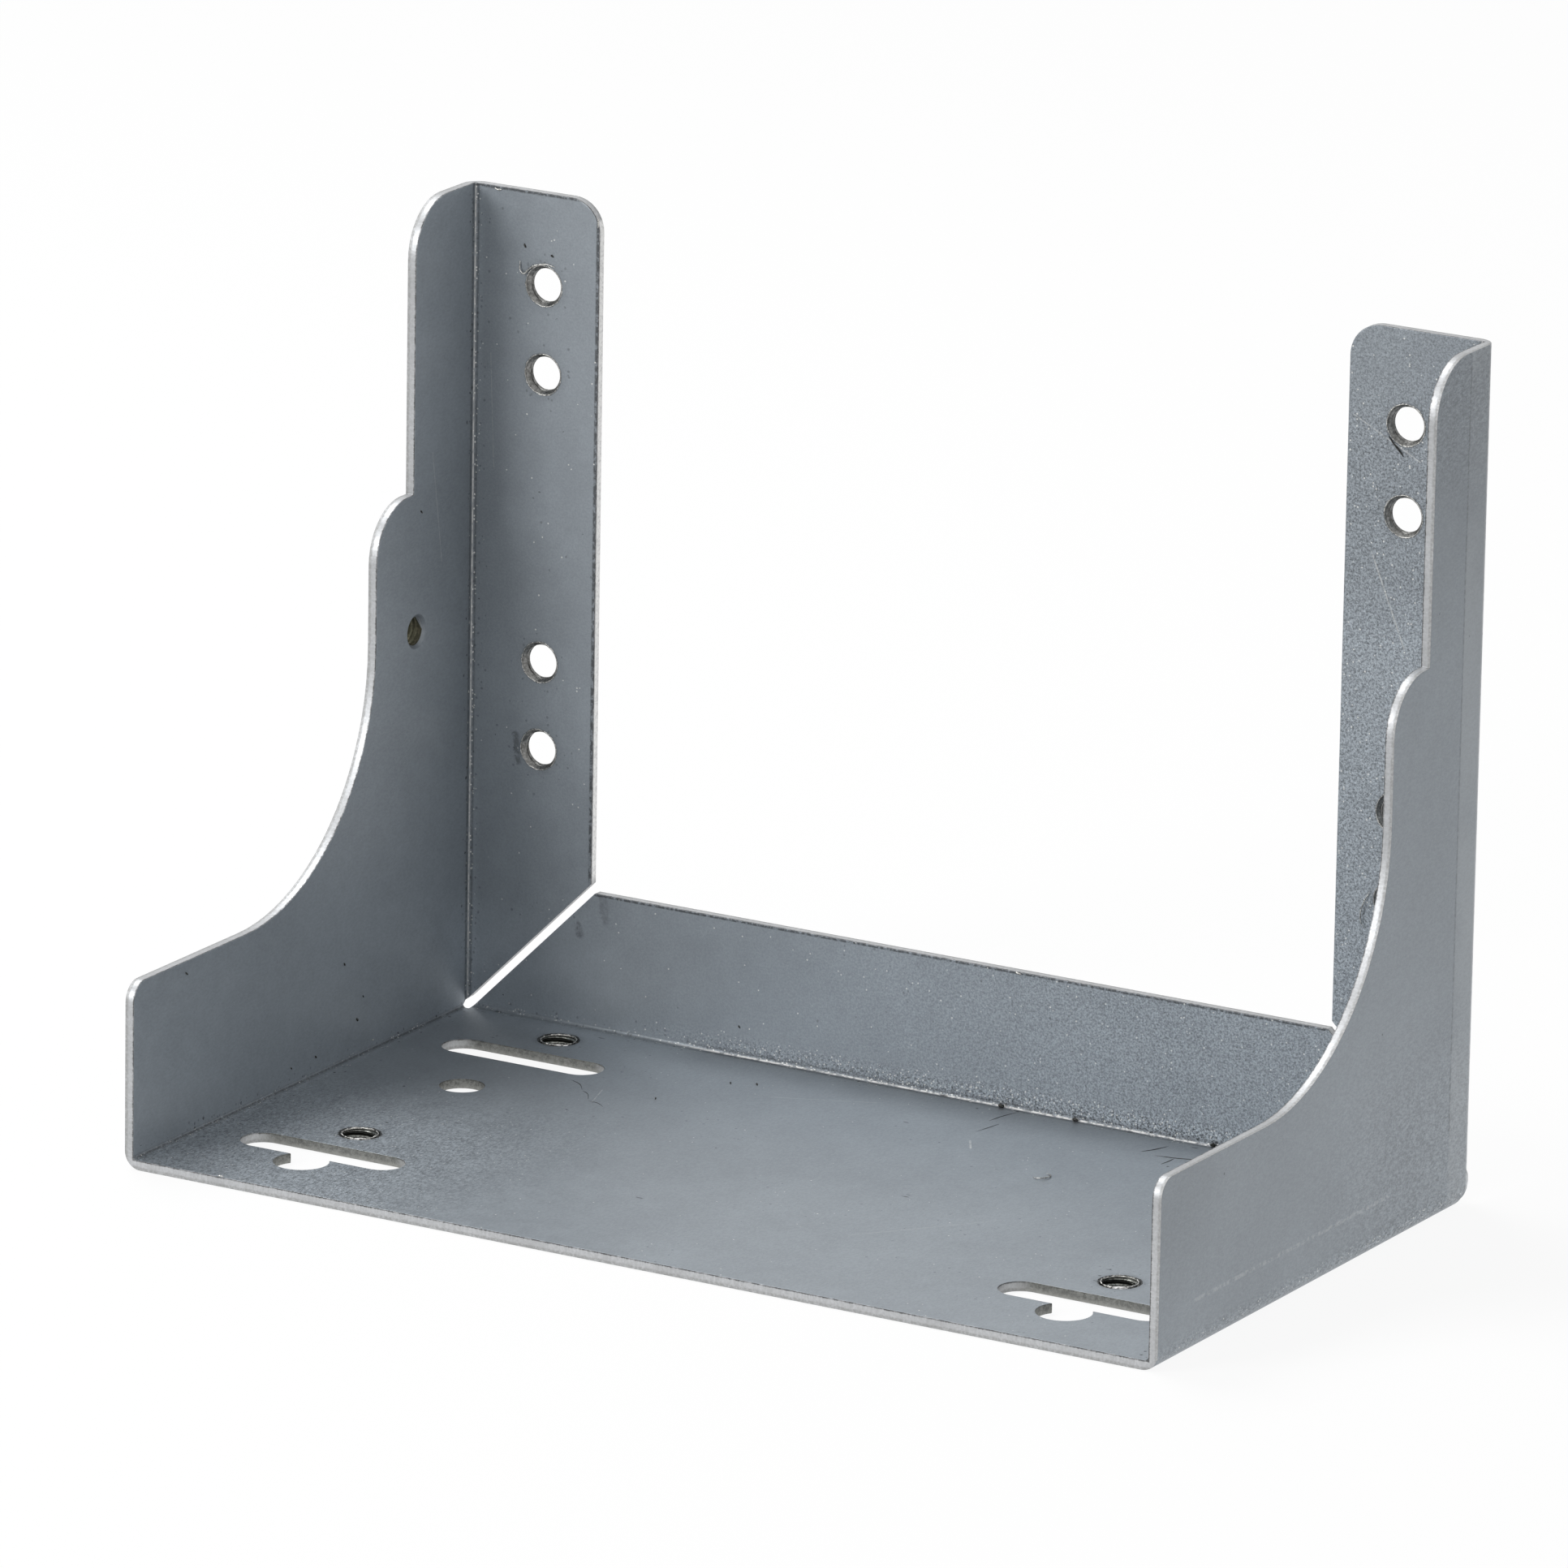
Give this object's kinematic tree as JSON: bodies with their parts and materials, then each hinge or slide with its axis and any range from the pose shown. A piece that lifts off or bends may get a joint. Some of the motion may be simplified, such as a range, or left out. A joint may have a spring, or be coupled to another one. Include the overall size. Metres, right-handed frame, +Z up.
{
  "type": "motor mount bracket",
  "caption": "Folded sheet steel bracket: a flat slotted base between two swept side walls, with threaded back flanges and a low rear flange.",
  "frame": {"origin": "middle of the underside of the base, halfway between the side walls' outer faces and halfway between the front edge and the back face", "axes": "+X across the bracket to the right, +Y from the open front to the back flanges, +Z up from the base along the side walls"},
  "size_m": [0.1694, 0.0914, 0.126],
  "materials": {
    "galvanised_steel": "satin galvanised sheet, with brighter cut edges"
  },
  "bodies": {
    "root": {"bracket": "galvanised_steel"}
  },
  "joints": []
}
